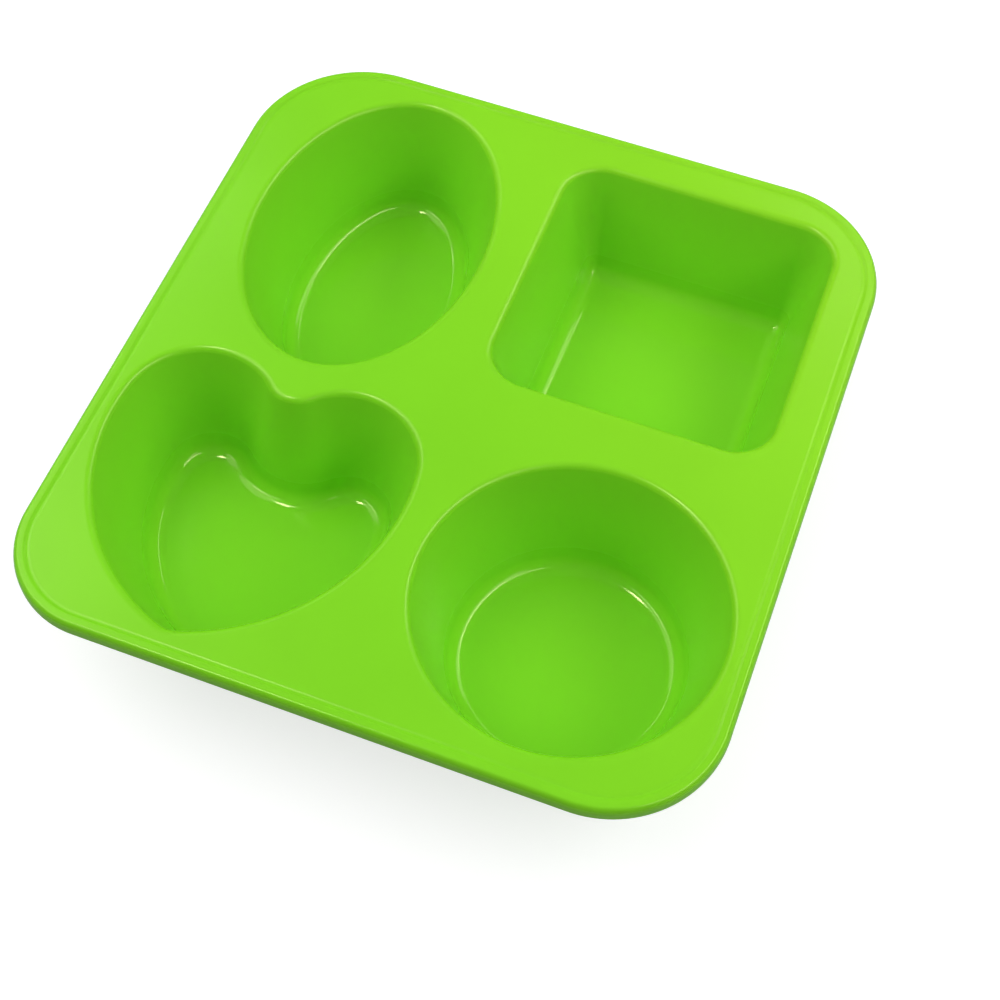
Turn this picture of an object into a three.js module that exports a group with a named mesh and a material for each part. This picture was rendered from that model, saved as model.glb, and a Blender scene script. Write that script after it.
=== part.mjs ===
import * as THREE from 'three';
import { mergeVertices } from 'three/addons/utils/BufferGeometryUtils.js';

// A silicone soap mould with four cavities: oval, square, heart and round.
// Millimetres, +Z up. The mould stands on the feet of its cavities with the openings up.
// The origin is on the table under the middle of the tray; the front, with the heart and
// the round cavity, is -Y.
// The real mould is one moulding. It is built here as its regions: the deck, the bead
// around it, and a wall and a floor for each cavity. The floors are pushed up to let the
// soap out, so each is a solid of its own.

const trayWidth = 182.6;
const trayLength = 195;
const trayCornerRadii = { backRight: 31.2, backLeft: 33, frontLeft: 25.6, frontRight: 30.3 };
const deckTop = 37;
const deckThickness = 1.8;
const rimWidth = 2.8;
const rimTop = 37.5;
const rimBottom = 32.5;
const wallThickness = 1.8;
const draftAngle = THREE.MathUtils.degToRad(15.5);
const floorTop = 2;
const innerCornerRadius = 5;
const footRadius = 3;
const footInset = 14;          // from the opening in to the edge of the moving floor
const floorGap = 0.3;          // between the foot and the floor inside it
const floorLift = 0.2;         // the floor hangs just clear of the table
const smallestCorner = 1.5;    // where a rounded rectangle has been drawn in to nearly nothing
const cornerSteps = 8;
const roundSteps = 48;
const filletSteps = 3;

const deckBottom = deckTop - deckThickness;
const draftSlope = Math.tan(draftAngle);

const roundCavity = { x: 45, y: -48.7, radius: 39.4 };
const ovalCavity = { x: -45, y: 41.8, halfWidth: 32.2, halfLength: 47.3 };
const squareCavity = { x: 38.7, y: 46.2, side: 78, cornerRadius: 11.5 };

// The heart: two lobes, a rounded cleft between them at the back, two long side arcs and a
// rounded tip at the front. Heights are measured along Y from the lobes' centres.
const heartCavity = {
  x: -43.8,
  y: -31.1,
  lobeOffset: 19.9,
  lobeRadius: 20.3,
  cleftRadius: 8.5,
  sideRadius: 56,
  tipRadius: 8,
  tipDepth: 50.3,
  smallestTip: 2.5,
};

const silicone = { color: 0x76d428, roughness: 0.3, metalness: 0 };

// Points along an arc, from one angle to another, without the last one.
function arcPoints(x, y, radius, from, to, steps) {
  const curve = new THREE.EllipseCurve(x, y, radius, radius, from, to, to < from, 0);
  return curve.getPoints(steps).slice(0, -1);
}

function circleOutline({ radius }) {
  return (inset) => arcPoints(0, 0, radius - inset, 0, 2 * Math.PI, roundSteps);
}

function ellipseOutline({ halfWidth, halfLength }) {
  return (inset) => {
    const curve = new THREE.EllipseCurve(0, 0, halfWidth - inset, halfLength - inset);
    return curve.getPoints(roundSteps).slice(0, -1);
  };
}

// A rectangle with rounded corners: back right, back left, front left and front right.
function roundedOutline(width, length, cornerRadii) {
  const sides = [[1, 1], [-1, 1], [-1, -1], [1, -1]];
  return (inset) => cornerRadii.flatMap((cornerRadius, corner) => {
    const radius = Math.max(cornerRadius - inset, smallestCorner);
    const x = sides[corner][0] * (width / 2 - inset - radius);
    const y = sides[corner][1] * (length / 2 - inset - radius);
    const start = corner * Math.PI / 2;
    const arc = new THREE.EllipseCurve(x, y, radius, radius, start, start + Math.PI / 2);
    return arc.getPoints(cornerSteps);
  });
}

// Where the centre of a side arc lies, so that it touches the lobe and the tip from outside.
function sideCentre(heart) {
  const lobe = new THREE.Vector2(heart.lobeOffset, 0);
  const tip = new THREE.Vector2(0, -heart.tipDepth);
  const toLobe = heart.sideRadius - heart.lobeRadius;
  const toTip = heart.sideRadius - heart.tipRadius;
  const gap = lobe.distanceTo(tip);
  const along = (toLobe ** 2 - toTip ** 2 + gap ** 2) / (2 * gap);
  const across = Math.sqrt(toLobe ** 2 - along ** 2);
  const direction = tip.clone().sub(lobe).divideScalar(gap);
  const normal = new THREE.Vector2(direction.y, -direction.x);
  return lobe.addScaledVector(direction, along).addScaledVector(normal, across);
}

function heartOutline(heart) {
  const centre = sideCentre(heart);
  const reach = heart.lobeRadius + heart.cleftRadius;
  const cleftY = Math.sqrt(reach ** 2 - heart.lobeOffset ** 2);
  const cleftAngle = Math.atan2(-cleftY, heart.lobeOffset);
  const lobeAngle = Math.atan2(-centre.y, heart.lobeOffset - centre.x);
  return (inset) => {
    const sideRadius = heart.sideRadius - inset;
    const tipRadius = Math.max(heart.tipRadius - inset, heart.smallestTip);
    const tipY = centre.y - Math.sqrt((sideRadius - tipRadius) ** 2 - centre.x ** 2);
    const tipAngle = Math.atan2(tipY - centre.y, -centre.x);
    const right = [
      ...arcPoints(0, tipY, tipRadius, -Math.PI / 2, tipAngle, 4),
      ...arcPoints(centre.x, centre.y, sideRadius, tipAngle, lobeAngle, 8),
      ...arcPoints(heart.lobeOffset, 0, heart.lobeRadius - inset, lobeAngle,
        cleftAngle + Math.PI, 12),
      ...arcPoints(0, cleftY, heart.cleftRadius + inset, cleftAngle, -Math.PI / 2, 4),
    ];
    const cleft = new THREE.Vector2(0, cleftY - heart.cleftRadius - inset);
    const left = right.slice(1).reverse().map((p) => new THREE.Vector2(-p.x, p.y));
    return [...right, cleft, ...left];
  };
}

// A closed ring: a profile of (inset, height) points carried around an outline.
function ringGeometry(profile, outline) {
  const turns = outline(0).length;
  const loop = [...profile, profile[0]];
  const geometry = new THREE.LatheGeometry(loop, turns);
  const position = geometry.getAttribute('position');
  loop.forEach(({ x: inset, y: height }, step) => {
    const points = outline(inset);
    for (let turn = 0; turn <= turns; turn += 1) {
      const { x, y } = points[turn % turns];
      position.setXYZ(turn * loop.length + step, x, y, height);
    }
  });
  geometry.deleteAttribute('normal');
  geometry.deleteAttribute('uv');
  const closed = mergeVertices(geometry, 1e-4);
  closed.computeVertexNormals();
  return closed;
}

function plateGeometry(outlinePoints, holes, thickness, bottom) {
  const shape = new THREE.Shape(outlinePoints);
  shape.holes = holes.map((points) => new THREE.Path(points));
  const plate = new THREE.ExtrudeGeometry(shape, { depth: thickness, bevelEnabled: false });
  plate.translate(0, 0, bottom);
  return plate;
}

function namedMesh(name, geometry, x = 0, y = 0) {
  const mesh = new THREE.Mesh(geometry, new THREE.MeshStandardMaterial(silicone));
  mesh.name = name;
  mesh.position.set(x, y, 0);
  return mesh;
}

// How far the wall's inner face has come in from the opening, at a height.
function wallInset(height) {
  return (deckTop - height) * draftSlope;
}

// Points of the fillet where the wall turns into a level face, seen in section.
function filletPoints(radius, level, wallOffset) {
  const slant = 1 / Math.cos(draftAngle);
  const inset = wallInset(level + radius) + (radius - wallOffset) * slant;
  const points = [];
  for (let step = 0; step <= filletSteps; step += 1) {
    const share = step / filletSteps;
    const angle = THREE.MathUtils.lerp(Math.PI + draftAngle, 1.5 * Math.PI, share);
    points.push(new THREE.Vector2(
      inset + radius * Math.cos(angle),
      level + radius + radius * Math.sin(angle),
    ));
  }
  return points;
}

// A cavity's wall in section: the inner face down to the floor, the foot, and the outer
// face back up to the underside of the deck.
function wallProfile() {
  const skin = wallThickness / Math.cos(draftAngle);
  const topInset = wallInset(deckBottom);
  return [
    new THREE.Vector2(topInset, deckBottom),
    ...filletPoints(innerCornerRadius, floorTop, 0),
    new THREE.Vector2(footInset, floorTop),
    new THREE.Vector2(footInset, 0),
    ...filletPoints(footRadius, 0, wallThickness).reverse(),
    new THREE.Vector2(topInset - skin, deckBottom),
  ];
}

function cavityWall(name, outline, { x, y }) {
  return namedMesh(`${name}_wall`, ringGeometry(wallProfile(), outline), x, y);
}

function cavityFloor(name, outline, { x, y }) {
  const points = outline(footInset + floorGap);
  const plate = plateGeometry(points, [], floorTop - floorLift, floorLift);
  return namedMesh(`${name}_floor`, plate, x, y);
}

// The flat top sheet that joins the cavities, with an opening over each one.
function deck(trayOutline, cavities) {
  const holes = cavities.map(({ outline, place }) => (
    outline(0).map((p) => new THREE.Vector2(p.x + place.x, p.y + place.y))
  ));
  return namedMesh('deck', plateGeometry(trayOutline(rimWidth), holes, deckThickness, deckBottom));
}

// The bead that stiffens the edge: a deep lip with a half-round top.
function rim(trayOutline) {
  const radius = rimWidth / 2;
  const profile = [
    new THREE.Vector2(0, rimBottom),
    ...arcPoints(radius, rimTop - radius, radius, Math.PI, 0, 6),
    new THREE.Vector2(rimWidth, rimTop - radius),
    new THREE.Vector2(rimWidth, rimBottom),
  ];
  return namedMesh('rim', ringGeometry(profile, trayOutline));
}

function soapMould() {
  const { side, cornerRadius } = squareCavity;
  const squareCorners = Array(4).fill(cornerRadius);
  const { backRight, backLeft, frontLeft, frontRight } = trayCornerRadii;
  const trayCorners = [backRight, backLeft, frontLeft, frontRight];
  const cavities = [
    { name: 'oval', place: ovalCavity, outline: ellipseOutline(ovalCavity) },
    { name: 'square', place: squareCavity, outline: roundedOutline(side, side, squareCorners) },
    { name: 'heart', place: heartCavity, outline: heartOutline(heartCavity) },
    { name: 'round', place: roundCavity, outline: circleOutline(roundCavity) },
  ];
  const trayOutline = roundedOutline(trayWidth, trayLength, trayCorners);
  const mould = new THREE.Group();
  mould.name = 'soap_mould';
  mould.add(deck(trayOutline, cavities), rim(trayOutline));
  for (const { name, place, outline } of cavities) {
    mould.add(cavityWall(name, outline, place), cavityFloor(name, outline, place));
  }
  return mould;
}

const group = soapMould();
export default group;
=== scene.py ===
import math

import bmesh
import bpy
from mathutils import Matrix, Vector


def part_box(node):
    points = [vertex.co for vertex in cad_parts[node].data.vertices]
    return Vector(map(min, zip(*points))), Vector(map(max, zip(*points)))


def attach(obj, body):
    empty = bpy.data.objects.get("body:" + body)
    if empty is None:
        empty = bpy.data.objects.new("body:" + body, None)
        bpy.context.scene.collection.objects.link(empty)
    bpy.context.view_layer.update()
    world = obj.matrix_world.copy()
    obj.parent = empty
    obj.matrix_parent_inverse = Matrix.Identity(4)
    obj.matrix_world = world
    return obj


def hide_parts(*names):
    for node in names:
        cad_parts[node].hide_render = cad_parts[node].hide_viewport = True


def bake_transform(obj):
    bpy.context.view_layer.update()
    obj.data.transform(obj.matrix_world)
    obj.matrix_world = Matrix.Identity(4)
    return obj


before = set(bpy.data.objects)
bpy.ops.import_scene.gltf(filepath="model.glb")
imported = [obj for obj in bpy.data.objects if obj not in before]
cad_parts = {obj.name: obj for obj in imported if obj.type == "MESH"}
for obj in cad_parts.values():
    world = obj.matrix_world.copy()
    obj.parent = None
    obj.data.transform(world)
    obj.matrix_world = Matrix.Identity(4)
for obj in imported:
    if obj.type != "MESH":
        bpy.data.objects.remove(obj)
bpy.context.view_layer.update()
mm = 0.001

# The sheet of silicone, taken from the frame's nodes, and what the mould maker adds to it.
deckLow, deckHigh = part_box("deck")
sheet = {
    "top": deckHigh.z,
    "underside": deckLow.z,
    "draft": math.radians(15.5),
    "skin": 1.8 * mm,
    "seam": 1.9 * mm,          # flat band around each opening that belongs to the cavity
    "lipRadius": 2.2 * mm,     # the opening's rounded edge
    "throatRadius": 1.2 * mm,  # under the deck, where the cavity's outside starts
    "cornerRadius": 5.0 * mm,  # inside, between wall and floor
    "footRadius": 3.0 * mm,
    "floorTop": 2.0 * mm,
    "bendTop": 24.0 * mm,      # the height below which the real cavity folds in when pushed
    "squareCorner": 11.5 * mm,
    "smallestCorner": 1.5 * mm,
}
# how finely the curves are cut
cuts = {
    "circle": 168,
    "ellipse": 180,
    "squareArc": 16,
    "squareSide": 14,
    "trayArc": 30,
    "traySide": 40,
    "heartTip": 12,
    "heartSide": 34,
    "heartLobe": 44,
    "heartCleft": 12,
    "fillet": 14,
    "lip": 8,
    "throat": 6,
    "foot": 8,
    "wall": 6,
    "groove": 16,
    "shoulder": 14,
    "skirtEdge": 5,
    "underBead": 8,
}
quarterTurn = math.pi / 2
creaseAngle = math.radians(42)  # edges sharper than this are shaded as creases
draftSlope = math.tan(sheet["draft"])
slant = 1 / math.cos(sheet["draft"])
# how far a CAD wall stands outside the opening
wallGrow = sheet["skin"] * slant - (sheet["top"] - sheet["underside"]) * draftSlope


def arcPoints(x, y, radius, start, end, steps):
    # along an arc, without its last point
    angles = [start + (end - start) * step / steps for step in range(steps)]
    return [Vector((x + radius * math.cos(a), y + radius * math.sin(a))) for a in angles]


def circleOutline(x, y, radius):
    return lambda inset: arcPoints(x, y, radius - inset, 0, 2 * math.pi, cuts["circle"])


def ellipseOutline(x, y, halfWidth, halfLength):
    def outline(inset):
        steps = cuts["ellipse"]
        angles = [2 * math.pi * step / steps for step in range(steps)]
        return [Vector((x + (halfWidth - inset) * math.cos(a), y + (halfLength - inset) * math.sin(a)))
                for a in angles]
    return outline


def roundedOutline(x, y, width, length, corners, steps, sideSteps):
    # corner radii in the order back right, back left, front left, front right
    sides = [(1, 1), (-1, 1), (-1, -1), (1, -1)]

    def outline(inset):
        arcs = []
        for turn, (corner, (sideX, sideY)) in enumerate(zip(corners, sides)):
            radius = max(corner - inset, sheet["smallestCorner"])
            cornerX = x + sideX * (width / 2 - inset - radius)
            cornerY = y + sideY * (length / 2 - inset - radius)
            start = turn * quarterTurn
            last = start + quarterTurn
            arc = arcPoints(cornerX, cornerY, radius, start, last, steps)
            end = Vector((math.cos(last), math.sin(last)))
            arcs.append(arc + [Vector((cornerX, cornerY)) + radius * end])
        points = []
        for turn, arc in enumerate(arcs):
            following = arcs[(turn + 1) % 4][0]
            points += arc[:-1] + [arc[-1].lerp(following, step / sideSteps) for step in range(sideSteps)]
        return points
    return outline


def heartOutline(x, y, shape):
    # two lobes, a rounded cleft between them, two long side arcs and a rounded tip
    lobe = Vector((shape["lobeOffset"], 0))
    tip = Vector((0, -shape["tipDepth"]))
    toLobe = shape["sideRadius"] - shape["lobeRadius"]
    toTip = shape["sideRadius"] - shape["tipRadius"]
    gap = (lobe - tip).length
    along = (toLobe ** 2 - toTip ** 2 + gap ** 2) / (2 * gap)
    across = math.sqrt(toLobe ** 2 - along ** 2)
    direction = (tip - lobe) / gap
    centre = lobe + direction * along + Vector((direction.y, -direction.x)) * across
    cleftY = math.sqrt((shape["lobeRadius"] + shape["cleftRadius"]) ** 2 - shape["lobeOffset"] ** 2)
    cleftAngle = math.atan2(-cleftY, shape["lobeOffset"])
    lobeAngle = math.atan2(-centre.y, shape["lobeOffset"] - centre.x)

    def outline(inset):
        sideRadius = shape["sideRadius"] - inset
        tipRadius = max(shape["tipRadius"] - inset, shape["smallestTip"])
        tipY = centre.y - math.sqrt((sideRadius - tipRadius) ** 2 - centre.x ** 2)
        tipAngle = math.atan2(tipY - centre.y, -centre.x)
        right = arcPoints(0, tipY, tipRadius, -quarterTurn, tipAngle, cuts["heartTip"])
        right += arcPoints(centre.x, centre.y, sideRadius, tipAngle, lobeAngle, cuts["heartSide"])
        right += arcPoints(lobe.x, 0, shape["lobeRadius"] - inset,
                           lobeAngle, cleftAngle + math.pi, cuts["heartLobe"])
        right += arcPoints(0, cleftY, shape["cleftRadius"] + inset,
                           cleftAngle, -quarterTurn, cuts["heartCleft"])
        cleft = Vector((0, cleftY - shape["cleftRadius"] - inset))
        left = [Vector((-p.x, p.y)) for p in reversed(right[1:])]
        return [Vector((x + p.x, y + p.y)) for p in right + [cleft] + left]
    return outline


def meshPiece(name, vertices, faces, material):
    mesh = bpy.data.meshes.new(name)
    mesh.from_pydata(vertices, [], faces)
    mesh.validate()
    mesh.shade_smooth()
    mesh.set_sharp_from_angle(angle=creaseAngle)
    mesh.materials.append(material)
    piece = bpy.data.objects.new(name, mesh)
    bpy.context.scene.collection.objects.link(piece)
    return piece


def ringFaces(first, second, count):
    return [(first + k, first + (k + 1) % count, second + (k + 1) % count, second + k)
            for k in range(count)]


siliconeLook = {
    "deckColor": (0.200, 0.655, 0.012, 1),
    "lightPaintedBackRightColor": (0.255, 0.690, 0.014, 1),    # painted light: lighter and yellower towards the back right, where more light falls
    # painted light: below the deck the cavities are lighter than the deck, standing in for light that fills
    # them
    "paintedLightCavityColor": (0.222, 0.685, 0.020, 1),
    "deckRoughness": 0.22,
    "wallRoughness": 0.34,
    "floorRoughness": 0.07,                   # floors and their fillets come off the polished plug
    "ior": 1.43,
    "sheenTone": (1.0, 0.88, 0.50, 1),        # the pigment warms what the surface reflects
    "bumpStrength": 0.25,
    "bumpDistance": 0.3 * mm,
}
# where the finishes and the painted light meet and how much they vary
finishAndPaintedLightMap = {
    "deckEnds": sheet["top"] - 0.4 * mm,
    "wallStarts": sheet["top"] - 2.0 * mm,
    "polishStarts": 10 * mm,
    "polishFull": 6 * mm,
    "paintedLightStarts": -60 * mm,    # painted light grows along the diagonal to the back right
    "paintedLightFull": 170 * mm,
    "slowScale": 22,           # broad unevenness of tone and surface
    "grainScale": 1400,        # the fine satin
    "noiseDetail": 2,
    "noiseRange": (0.3, 0.7),  # what the noise mostly spans
    "toneRange": (0.97, 1.03),
    "grainInRoughness": 0.05,
    "grainInHeight": 0.03,
}


def newSocket(group, name, direction, kind):
    group.interface.new_socket(name=name, in_out=direction, socket_type=kind)


def link(tree, source, target):
    tree.links.new(source, target)


def makeNode(tree, kind, **settings):
    node = tree.nodes.new(kind)
    for key, value in settings.items():
        setattr(node, key, value)
    return node


def addRange(tree, source, low, high, toLow=0.0, toHigh=1.0, smooth=True):
    kind = "SMOOTHSTEP" if smooth else "LINEAR"
    node = makeNode(tree, "ShaderNodeMapRange", interpolation_type=kind)
    for name, value in (("From Min", low), ("From Max", high), ("To Min", toLow), ("To Max", toHigh)):
        node.inputs[name].default_value = value
    link(tree, source, node.inputs["Value"])
    return node.outputs["Result"]


def addMix(tree, factor, first, second, kind="FLOAT"):
    node = makeNode(tree, "ShaderNodeMix", data_type=kind)
    link(tree, factor, node.inputs["Factor"])
    ends = [socket for socket in node.inputs if socket.enabled and socket.name in ("A", "B")]
    link(tree, first, ends[0])
    link(tree, second, ends[1])
    return next(socket for socket in node.outputs if socket.enabled)


def addNoise(tree, place, scale):
    node = makeNode(tree, "ShaderNodeTexNoise")
    node.inputs["Scale"].default_value = scale
    node.inputs["Detail"].default_value = finishAndPaintedLightMap["noiseDetail"]
    link(tree, place, node.inputs["Vector"])
    return node.outputs["Fac"]


def addMultiplyAdd(tree, source, factor, added):
    node = makeNode(tree, "ShaderNodeMath", operation="MULTIPLY_ADD")
    node.inputs[1].default_value = factor
    link(tree, source, node.inputs[0])
    link(tree, added, node.inputs[2])
    return node.outputs["Value"]


def buildSkinGroup():
    # tone, roughness and surface height of moulded silicone: satin deck, satin walls, polished floors; the
    # tone holds painted light, lighter below the deck and towards the back right
    group = bpy.data.node_groups.new("mouldedSkin", "ShaderNodeTree")
    for name in ("Deck Color", "Painted Light Back Right Tone", "Cavity Tone With Painted Light"):
        newSocket(group, name, "INPUT", "NodeSocketColor")
    for name in ("Deck Roughness", "Wall Roughness", "Floor Roughness"):
        newSocket(group, name, "INPUT", "NodeSocketFloat")
    newSocket(group, "Color", "OUTPUT", "NodeSocketColor")
    newSocket(group, "Roughness", "OUTPUT", "NodeSocketFloat")
    newSocket(group, "Height", "OUTPUT", "NodeSocketFloat")
    entry = makeNode(group, "NodeGroupInput")
    leave = makeNode(group, "NodeGroupOutput")
    place = makeNode(group, "ShaderNodeTexCoord").outputs["Object"]
    split = makeNode(group, "ShaderNodeSeparateXYZ")
    link(group, place, split.inputs[0])
    height = split.outputs["Z"]
    inCavity = addRange(group, height, finishAndPaintedLightMap["deckEnds"], finishAndPaintedLightMap["wallStarts"])
    nearFloor = addRange(group, height, finishAndPaintedLightMap["polishStarts"], finishAndPaintedLightMap["polishFull"])
    diagonal = makeNode(group, "ShaderNodeMath", operation="ADD")
    link(group, split.outputs["X"], diagonal.inputs[0])
    link(group, split.outputs["Y"], diagonal.inputs[1])
    paintedLightTowardsBackRight = addRange(group, diagonal.outputs["Value"], finishAndPaintedLightMap["paintedLightStarts"], finishAndPaintedLightMap["paintedLightFull"])
    slow = addNoise(group, place, finishAndPaintedLightMap["slowScale"])
    grain = addNoise(group, place, finishAndPaintedLightMap["grainScale"])

    # painted light: the deck turns lighter and yellower towards the back right
    deckTone = addMix(group, paintedLightTowardsBackRight, entry.outputs["Deck Color"], entry.outputs["Painted Light Back Right Tone"], "RGBA")
    # painted light: below the deck the cavities take a lighter colour than the deck
    tone = addMix(group, inCavity, deckTone, entry.outputs["Cavity Tone With Painted Light"], "RGBA")
    vary = makeNode(group, "ShaderNodeHueSaturation")
    spans = (*finishAndPaintedLightMap["noiseRange"], *finishAndPaintedLightMap["toneRange"])
    unevenness = addRange(group, slow, *spans, smooth=False)
    link(group, unevenness, vary.inputs["Value"])
    link(group, tone, vary.inputs["Color"])
    link(group, vary.outputs["Color"], leave.inputs["Color"])

    upper = addMix(group, inCavity, entry.outputs["Deck Roughness"], entry.outputs["Wall Roughness"])
    finish = addMix(group, nearFloor, upper, entry.outputs["Floor Roughness"])
    roughness = addMultiplyAdd(group, grain, finishAndPaintedLightMap["grainInRoughness"], finish)
    relief = addMultiplyAdd(group, grain, finishAndPaintedLightMap["grainInHeight"], slow)
    link(group, roughness, leave.inputs["Roughness"])
    link(group, relief, leave.inputs["Height"])
    return group


skinGroup = buildSkinGroup()


def siliconeMaterial(name, look):
    material = bpy.data.materials.new(name)
    material.use_nodes = True
    tree = material.node_tree
    shader = tree.nodes["Principled BSDF"]
    shader.inputs["IOR"].default_value = look["ior"]
    shader.inputs["Specular Tint"].default_value = look["sheenTone"]
    skin = makeNode(tree, "ShaderNodeGroup", node_tree=skinGroup)
    skin.inputs["Deck Color"].default_value = look["deckColor"]
    skin.inputs["Painted Light Back Right Tone"].default_value = look["lightPaintedBackRightColor"]
    skin.inputs["Cavity Tone With Painted Light"].default_value = look["paintedLightCavityColor"]
    skin.inputs["Deck Roughness"].default_value = look["deckRoughness"]
    skin.inputs["Wall Roughness"].default_value = look["wallRoughness"]
    skin.inputs["Floor Roughness"].default_value = look["floorRoughness"]
    bump = makeNode(tree, "ShaderNodeBump")
    bump.inputs["Strength"].default_value = look["bumpStrength"]
    bump.inputs["Distance"].default_value = look["bumpDistance"]
    link(tree, skin.outputs["Height"], bump.inputs["Height"])
    link(tree, skin.outputs["Color"], shader.inputs["Base Color"])
    link(tree, skin.outputs["Roughness"], shader.inputs["Roughness"])
    link(tree, bump.outputs["Normal"], shader.inputs["Normal"])
    return material


silicone = siliconeMaterial("limeSilicone", siliconeLook)
print("silicone ready")


def wallInset(height):
    return (sheet["top"] - height) * draftSlope


def sectionArc(inset, height, radius, start, end, steps, rise=None):
    # an arc in the wall's section, both ends included; elliptical when rise is given
    angles = [start + (end - start) * step / steps for step in range(steps + 1)]
    return [(inset + radius * math.cos(a), height + (rise or radius) * math.sin(a)) for a in angles]


def cornerArc(radius, level, wallOffset, steps):
    # the fillet from the drafted wall down into a level face
    inset = wallInset(level + radius) + (radius - wallOffset) * slant
    return sectionArc(inset, level + radius, radius, math.pi + sheet["draft"], 3 * quarterTurn, steps)


def straight(first, last):
    # the points between two ends of a drafted face, without the ends
    steps = cuts["wall"]
    return [tuple(Vector(first).lerp(Vector(last), step / steps)) for step in range(1, steps)]


def cavityLevels():
    # (inset, height) from the floor's edge up the inside, over the lip and down the outside
    lip = sheet["lipRadius"]
    lipInset = wallInset(sheet["top"] - lip) - lip * slant
    throat = sheet["throatRadius"]
    throatHeight = sheet["underside"] - throat
    throatInset = wallInset(throatHeight) - (sheet["skin"] + throat) * slant
    fillet = cornerArc(sheet["cornerRadius"], sheet["floorTop"], 0, cuts["fillet"])[::-1]
    lipArc = sectionArc(lipInset, sheet["top"] - lip, lip, sheet["draft"], quarterTurn, cuts["lip"])
    throatArc = sectionArc(throatInset, throatHeight, throat, quarterTurn, sheet["draft"], cuts["throat"])
    foot = cornerArc(sheet["footRadius"], 0, sheet["skin"], cuts["foot"])
    seam = [(-sheet["seam"], sheet["top"]), (-sheet["seam"], sheet["underside"])]
    inner = straight(fillet[-1], lipArc[0])
    outer = straight(throatArc[-1], foot[0])
    return fillet + inner + lipArc + seam + throatArc + outer + foot


def cavitySkin(name, outline):
    levels = cavityLevels()
    floorShares = [0.06, 0.3, 0.55, 0.8]    # rings across a floor, from its middle out
    rings = []

    def shrunk(level, share):
        inset, height = level
        points = outline(inset)
        middle = sum(points, Vector((0, 0))) / len(points)
        return [(*middle.lerp(p, share), height) for p in points]

    for share in floorShares:
        rings.append(shrunk(levels[0], share))
    for inset, height in levels:
        rings.append([(*p, height) for p in outline(inset)])
    for share in reversed(floorShares):
        rings.append(shrunk(levels[-1], share))
    count = len(rings[0])
    vertices = [point for ring in rings for point in ring]
    faces = []
    for ring in range(len(rings) - 1):
        faces += ringFaces(ring * count, (ring + 1) * count, count)
    faces = [tuple(reversed(face)) for face in faces]
    for ring, height in ((0, levels[0][1]), (len(rings) - 1, levels[-1][1])):
        points = rings[ring]
        middle = len(vertices)
        vertices.append((sum(p[0] for p in points) / count, sum(p[1] for p in points) / count, height))
        start = ring * count
        for k in range(count):
            face = (start + k, start + (k + 1) % count, middle)
            faces.append(face if ring == 0 else tuple(reversed(face)))
    skin = meshPiece(f"{name}_cavity", vertices, faces, silicone)
    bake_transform(skin)
    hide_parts(f"{name}_wall", f"{name}_floor")


def opening(name):
    # middle and half size of an opening, from the CAD wall that hangs under it
    low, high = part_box(f"{name}_wall")
    return (low + high) / 2, (high - low) / 2 - Vector((wallGrow, wallGrow, 0))


def cavityOutlines():
    roundAt, roundHalf = opening("round")
    ovalAt, ovalHalf = opening("oval")
    squareAt, squareHalf = opening("square")
    heartAt, heartHalf = opening("heart")
    heartShape = {
        "lobeOffset": 19.9 * mm,
        "lobeRadius": 20.3 * mm,
        "cleftRadius": 8.5 * mm,
        "sideRadius": 56 * mm,
        "tipRadius": 8 * mm,
        "tipDepth": 50.3 * mm,
        "smallestTip": 2.5 * mm,
    }
    lobeY = heartAt.y + heartHalf.y - heartShape["lobeRadius"]
    return {
        "oval": ellipseOutline(ovalAt.x, ovalAt.y, ovalHalf.x, ovalHalf.y),
        "square": roundedOutline(squareAt.x, squareAt.y, 2 * squareHalf.x, 2 * squareHalf.y,
                                 [sheet["squareCorner"]] * 4, cuts["squareArc"], cuts["squareSide"]),
        "heart": heartOutline(heartAt.x, lobeY, heartShape),
        "round": circleOutline(roundAt.x, roundAt.y, roundHalf.x),
    }


outlines = cavityOutlines()
for cavityName, cavityOutline in outlines.items():
    cavitySkin(cavityName, cavityOutline)
print("cavities ready")


bead = {
    # back right, back left, front left, front right
    "corners": [31.2 * mm, 33.0 * mm, 25.6 * mm, 30.3 * mm],
    "crown": 0.25 * mm,         # how far the bead stands above the deck
    "shoulderWidth": 1.5 * mm,  # its outer shoulder
    "shoulderDrop": 2.6 * mm,
    "width": 2.7 * mm,          # from the outer edge in to the groove
    "groove": 1.8 * mm,         # the shallow groove at the bead's foot
    "grooveDepth": 0.2 * mm,
    "skirt": 1.9 * mm,          # thickness of the edge that hangs under the bead
    "bottomRadius": 0.6 * mm,
}
bead["seam"] = bead["width"] + bead["groove"]
rimLow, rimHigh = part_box("rim")
trayOutline = roundedOutline((rimLow.x + rimHigh.x) / 2, (rimLow.y + rimHigh.y) / 2,
                             rimHigh.x - rimLow.x, rimHigh.y - rimLow.y,
                             bead["corners"], cuts["trayArc"], cuts["traySide"])


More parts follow.
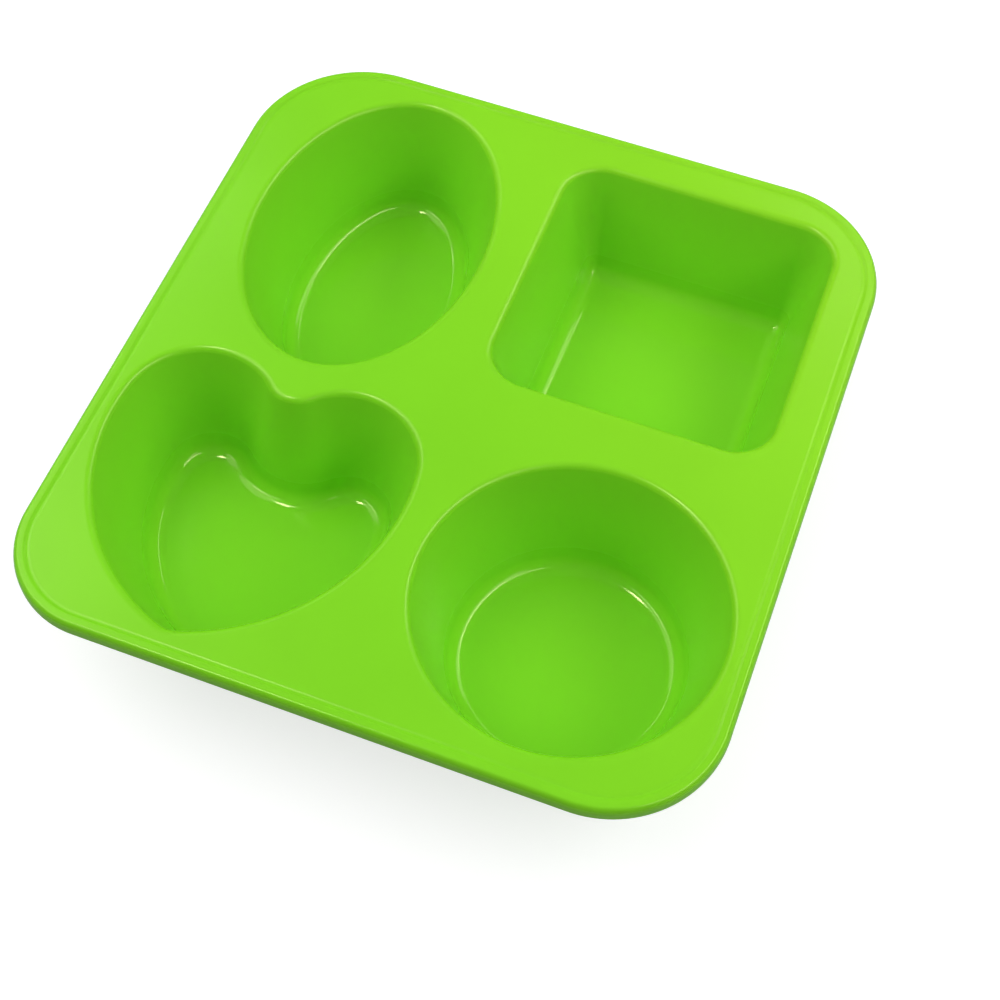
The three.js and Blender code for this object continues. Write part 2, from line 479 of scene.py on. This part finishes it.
def beadSection():
    # (inset, height) from the deck's edge over the groove and the bead, down and back under
    seam, width, shoulder = bead["seam"], bead["width"], bead["shoulderWidth"]
    top = sheet["top"] + bead["crown"]
    shoulderLow = top - bead["shoulderDrop"]
    low = rimLow.z
    groove = []
    for step in range(cuts["groove"] + 1):
        share = step / cuts["groove"]
        rise = bead["crown"] * share * share * (3 - 2 * share)
        dip = bead["grooveDepth"] * math.sin(math.pi * share) ** 2
        groove.append((seam - bead["groove"] * share, sheet["top"] + rise - dip))
    crown = [((width + shoulder) / 2, top)]
    over = sectionArc(shoulder, shoulderLow, shoulder, quarterTurn, math.pi,
                      cuts["shoulder"], bead["shoulderDrop"])
    curl = bead["bottomRadius"]
    skirt = bead["skirt"]
    side = [(0, (shoulderLow + low + curl) / 2)]
    below = sectionArc(curl, low + curl, curl, math.pi, 3 * quarterTurn, cuts["skirtEdge"])
    below += sectionArc(skirt - curl, low + curl, curl,
                        3 * quarterTurn, 2 * math.pi, cuts["skirtEdge"])[1:]
    turn = sheet["underside"] - low - curl
    under = sectionArc(seam, low + curl, seam - skirt, math.pi, quarterTurn, cuts["underBead"], turn)[1:]
    return groove + crown + over + side + below + under


def beadSkin():
    section = beadSection()
    rings = [[(*p, height) for p in trayOutline(inset)] for inset, height in section]
    count = len(rings[0])
    vertices = [point for ring in rings for point in ring]
    faces = []
    for ring in range(len(rings)):
        following = (ring + 1) % len(rings)
        faces += ringFaces(ring * count, following * count, count)
    skin = meshPiece("edge_bead", vertices, faces, silicone)
    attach(skin, "tray")
    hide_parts("rim")


def deckSkin():
    # the top is filled between the bead and the openings, then given an underside and edges
    loops = [trayOutline(bead["seam"])] + [outline(-sheet["seam"]) for outline in outlines.values()]
    fill = bmesh.new()
    edges = []
    for loop in loops:
        corners = [fill.verts.new((*p, sheet["top"])) for p in loop]
        edges += [fill.edges.new((corners[k], corners[(k + 1) % len(corners)]))
                  for k in range(len(corners))]
    bmesh.ops.triangle_fill(fill, use_beauty=True, use_dissolve=False, edges=edges, normal=(0, 0, 1))
    fill.verts.index_update()
    top = [tuple(corner.index for corner in face.verts) for face in fill.faces]
    fill.free()
    points = [p for loop in loops for p in loop]
    count = len(points)
    vertices = [(*p, height) for height in (sheet["top"], sheet["underside"]) for p in points]
    faces = top + [tuple(count + k for k in reversed(face)) for face in top]
    upper = 0
    for loop in loops:
        lower = upper + count
        # the first loop is the sheet's outer edge, and the others face into an opening
        ends = (upper, lower) if upper else (lower, upper)
        faces += ringFaces(*ends, len(loop))
        upper += len(loop)
    skin = meshPiece("deck_sheet", vertices, faces, silicone)
    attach(skin, "tray")
    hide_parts("deck")


beadSkin()
deckSkin()
print("deck and bead ready")


studio = {
    "floorHalf": 3.0,
    "floorColor": (0.45, 0.45, 0.45, 1),
    "floorLift": 0.70,     # keeps the mould's shadow pale
    "bounceColor": (0.42, 0.42, 0.42, 1),  # what the floor throws back at the mould
    "fill": 0.2,           # how much the room lights the mould
    "backdrop": 1.0,       # how bright the room looks past the floor
    # name: (direction and height in degrees, distance, length and width in metres, power in watts)
    "boxes": {
        "rightBox": (14, 42, 0.70, 1.2, 0.20, 2.6),
        "leftBox": (184, 55, 0.75, 0.62, 0.26, 1.25),
        "leftLowBox": (180, 36, 0.75, 0.90, 0.20, 1.8),
        "overheadPanel": (60, 75, 0.92, 2.0, 1.8, 7.0),
    },
    # arcs of small bright boxes that only draw the highlights
    # name: (from, to and height in degrees, width in metres, brightness)
    "edgeArcs": {
        "rightEdge": (-48, 56, 45, 0.035, 16),
        "backEdge": (56, 88, 45, 0.025, 9),
        "leftEdge": (128, 195, 43, 0.03, 9),
        "leftFrontEdge": (195, 238, 45, 0.07, 6),
        "frontSpot": (212, 222, 67, 0.11, 34),
    },
    "edgeDistance": 0.70,
    "edgeStep": 13,        # degrees of arc to a box
}


def addFloor():
    # white to the camera, and greyer in the light that it sends back up
    mesh = bpy.data.meshes.new("floor")
    half = studio["floorHalf"]
    corners = [(-half, -half, 0), (half, -half, 0), (half, half, 0), (-half, half, 0)]
    mesh.from_pydata(corners, [], [(0, 1, 2, 3)])
    material = bpy.data.materials.new("paleFloor")
    material.use_nodes = True
    tree = material.node_tree
    tree.nodes.clear()
    path = makeNode(tree, "ShaderNodeLightPath")
    choose = makeNode(tree, "ShaderNodeMixShader")
    leave = makeNode(tree, "ShaderNodeOutputMaterial")
    bounce = makeNode(tree, "ShaderNodeBsdfDiffuse")
    bounce.inputs["Color"].default_value = studio["bounceColor"]
    paint = makeNode(tree, "ShaderNodeBsdfDiffuse")
    paint.inputs["Color"].default_value = studio["floorColor"]
    lift = makeNode(tree, "ShaderNodeEmission")
    lift.inputs["Strength"].default_value = studio["floorLift"]
    lifted = makeNode(tree, "ShaderNodeAddShader")
    link(tree, paint.outputs[0], lifted.inputs[0])
    link(tree, lift.outputs[0], lifted.inputs[1])
    link(tree, path.outputs["Is Camera Ray"], choose.inputs[0])
    link(tree, bounce.outputs[0], choose.inputs[1])
    link(tree, lifted.outputs[0], choose.inputs[2])
    link(tree, choose.outputs[0], leave.inputs[0])
    mesh.materials.append(material)
    floor = bpy.data.objects.new("floor", mesh)
    bpy.context.scene.collection.objects.link(floor)


def addWorld():
    # dim for the light it gives, bright for the camera
    world = bpy.data.worlds.new("softRoom")
    world.use_nodes = True
    tree = world.node_tree
    background = tree.nodes["Background"]
    background.inputs["Color"].default_value = (1, 1, 1, 1)
    path = makeNode(tree, "ShaderNodeLightPath")
    strength = makeNode(tree, "ShaderNodeMapRange")
    strength.inputs["To Min"].default_value = studio["fill"]
    strength.inputs["To Max"].default_value = studio["backdrop"]
    link(tree, path.outputs["Is Camera Ray"], strength.inputs["Value"])
    link(tree, strength.outputs["Result"], background.inputs["Strength"])
    bpy.context.scene.world = world


def addSoftbox(name, direction, height, distance, length, width, power):
    turn, lift = math.radians(direction), math.radians(height)
    away = Vector((math.cos(turn) * math.cos(lift), math.sin(turn) * math.cos(lift), math.sin(lift)))
    light = bpy.data.lights.new(name, "AREA")
    light.shape = "RECTANGLE"
    light.size = length
    light.size_y = width
    light.energy = power
    lamp = bpy.data.objects.new(name, light)
    lamp.location = Vector((0, 0, sheet["top"])) + away * distance
    lamp.rotation_euler = (-away).to_track_quat("-Z", "Y").to_euler()
    bpy.context.scene.collection.objects.link(lamp)
    return lamp


def addEdgeArc(name, start, end, height, width, brightness):
    # small boxes end to end around the mould, seen only as highlights
    count = max(1, round((end - start) / studio["edgeStep"]))
    step = (end - start) / count
    reach = studio["edgeDistance"] * math.cos(math.radians(height))
    length = max(2 * reach * math.tan(math.radians(step) / 2), width)
    power = brightness * math.pi * length * width
    for part in range(count):
        place = (start + step * (part + 0.5), height, studio["edgeDistance"])
        lamp = addSoftbox(f"{name}{part + 1}", *place, length, width, power)
        lamp.visible_diffuse = False


def addCamera():
    # above the front right corner, looking down into the cavities
    view = {"azimuth": 19.30, "elevation": 59.46, "roll": 1.39, "distance": 436.4 * mm, "lens": 62.68}
    target = Vector((18.6 * mm, -27.5 * mm, sheet["top"]))
    azimuth, elevation, roll = (math.radians(view[key]) for key in ("azimuth", "elevation", "roll"))
    back = Vector((math.sin(azimuth) * math.cos(elevation),
                   -math.cos(azimuth) * math.cos(elevation), math.sin(elevation)))
    level = Vector((math.cos(azimuth), math.sin(azimuth), 0))
    upright = back.cross(level)
    right = level * math.cos(roll) + upright * math.sin(roll)
    up = upright * math.cos(roll) - level * math.sin(roll)
    data = bpy.data.cameras.new("camera")
    data.lens = view["lens"]
    data.sensor_width = 36
    data.clip_start = 0.01
    camera = bpy.data.objects.new("camera", data)
    turn = Matrix((right, up, back)).transposed()
    camera.matrix_world = Matrix.Translation(target + back * view["distance"]) @ turn.to_4x4()
    bpy.context.scene.collection.objects.link(camera)
    bpy.context.scene.camera = camera


addFloor()
addWorld()
addCamera()
softboxes = {name: addSoftbox(name, *settings) for name, settings in studio["boxes"].items()}
for boxName in ("overheadPanel", "leftLowBox"):
    softboxes[boxName].visible_glossy = False    # these only fill
for arcName, settings in studio["edgeArcs"].items():
    addEdgeArc(arcName, *settings)
view = bpy.context.scene.view_settings
view.view_transform = "Standard"
view.look = "None"
print("studio ready")
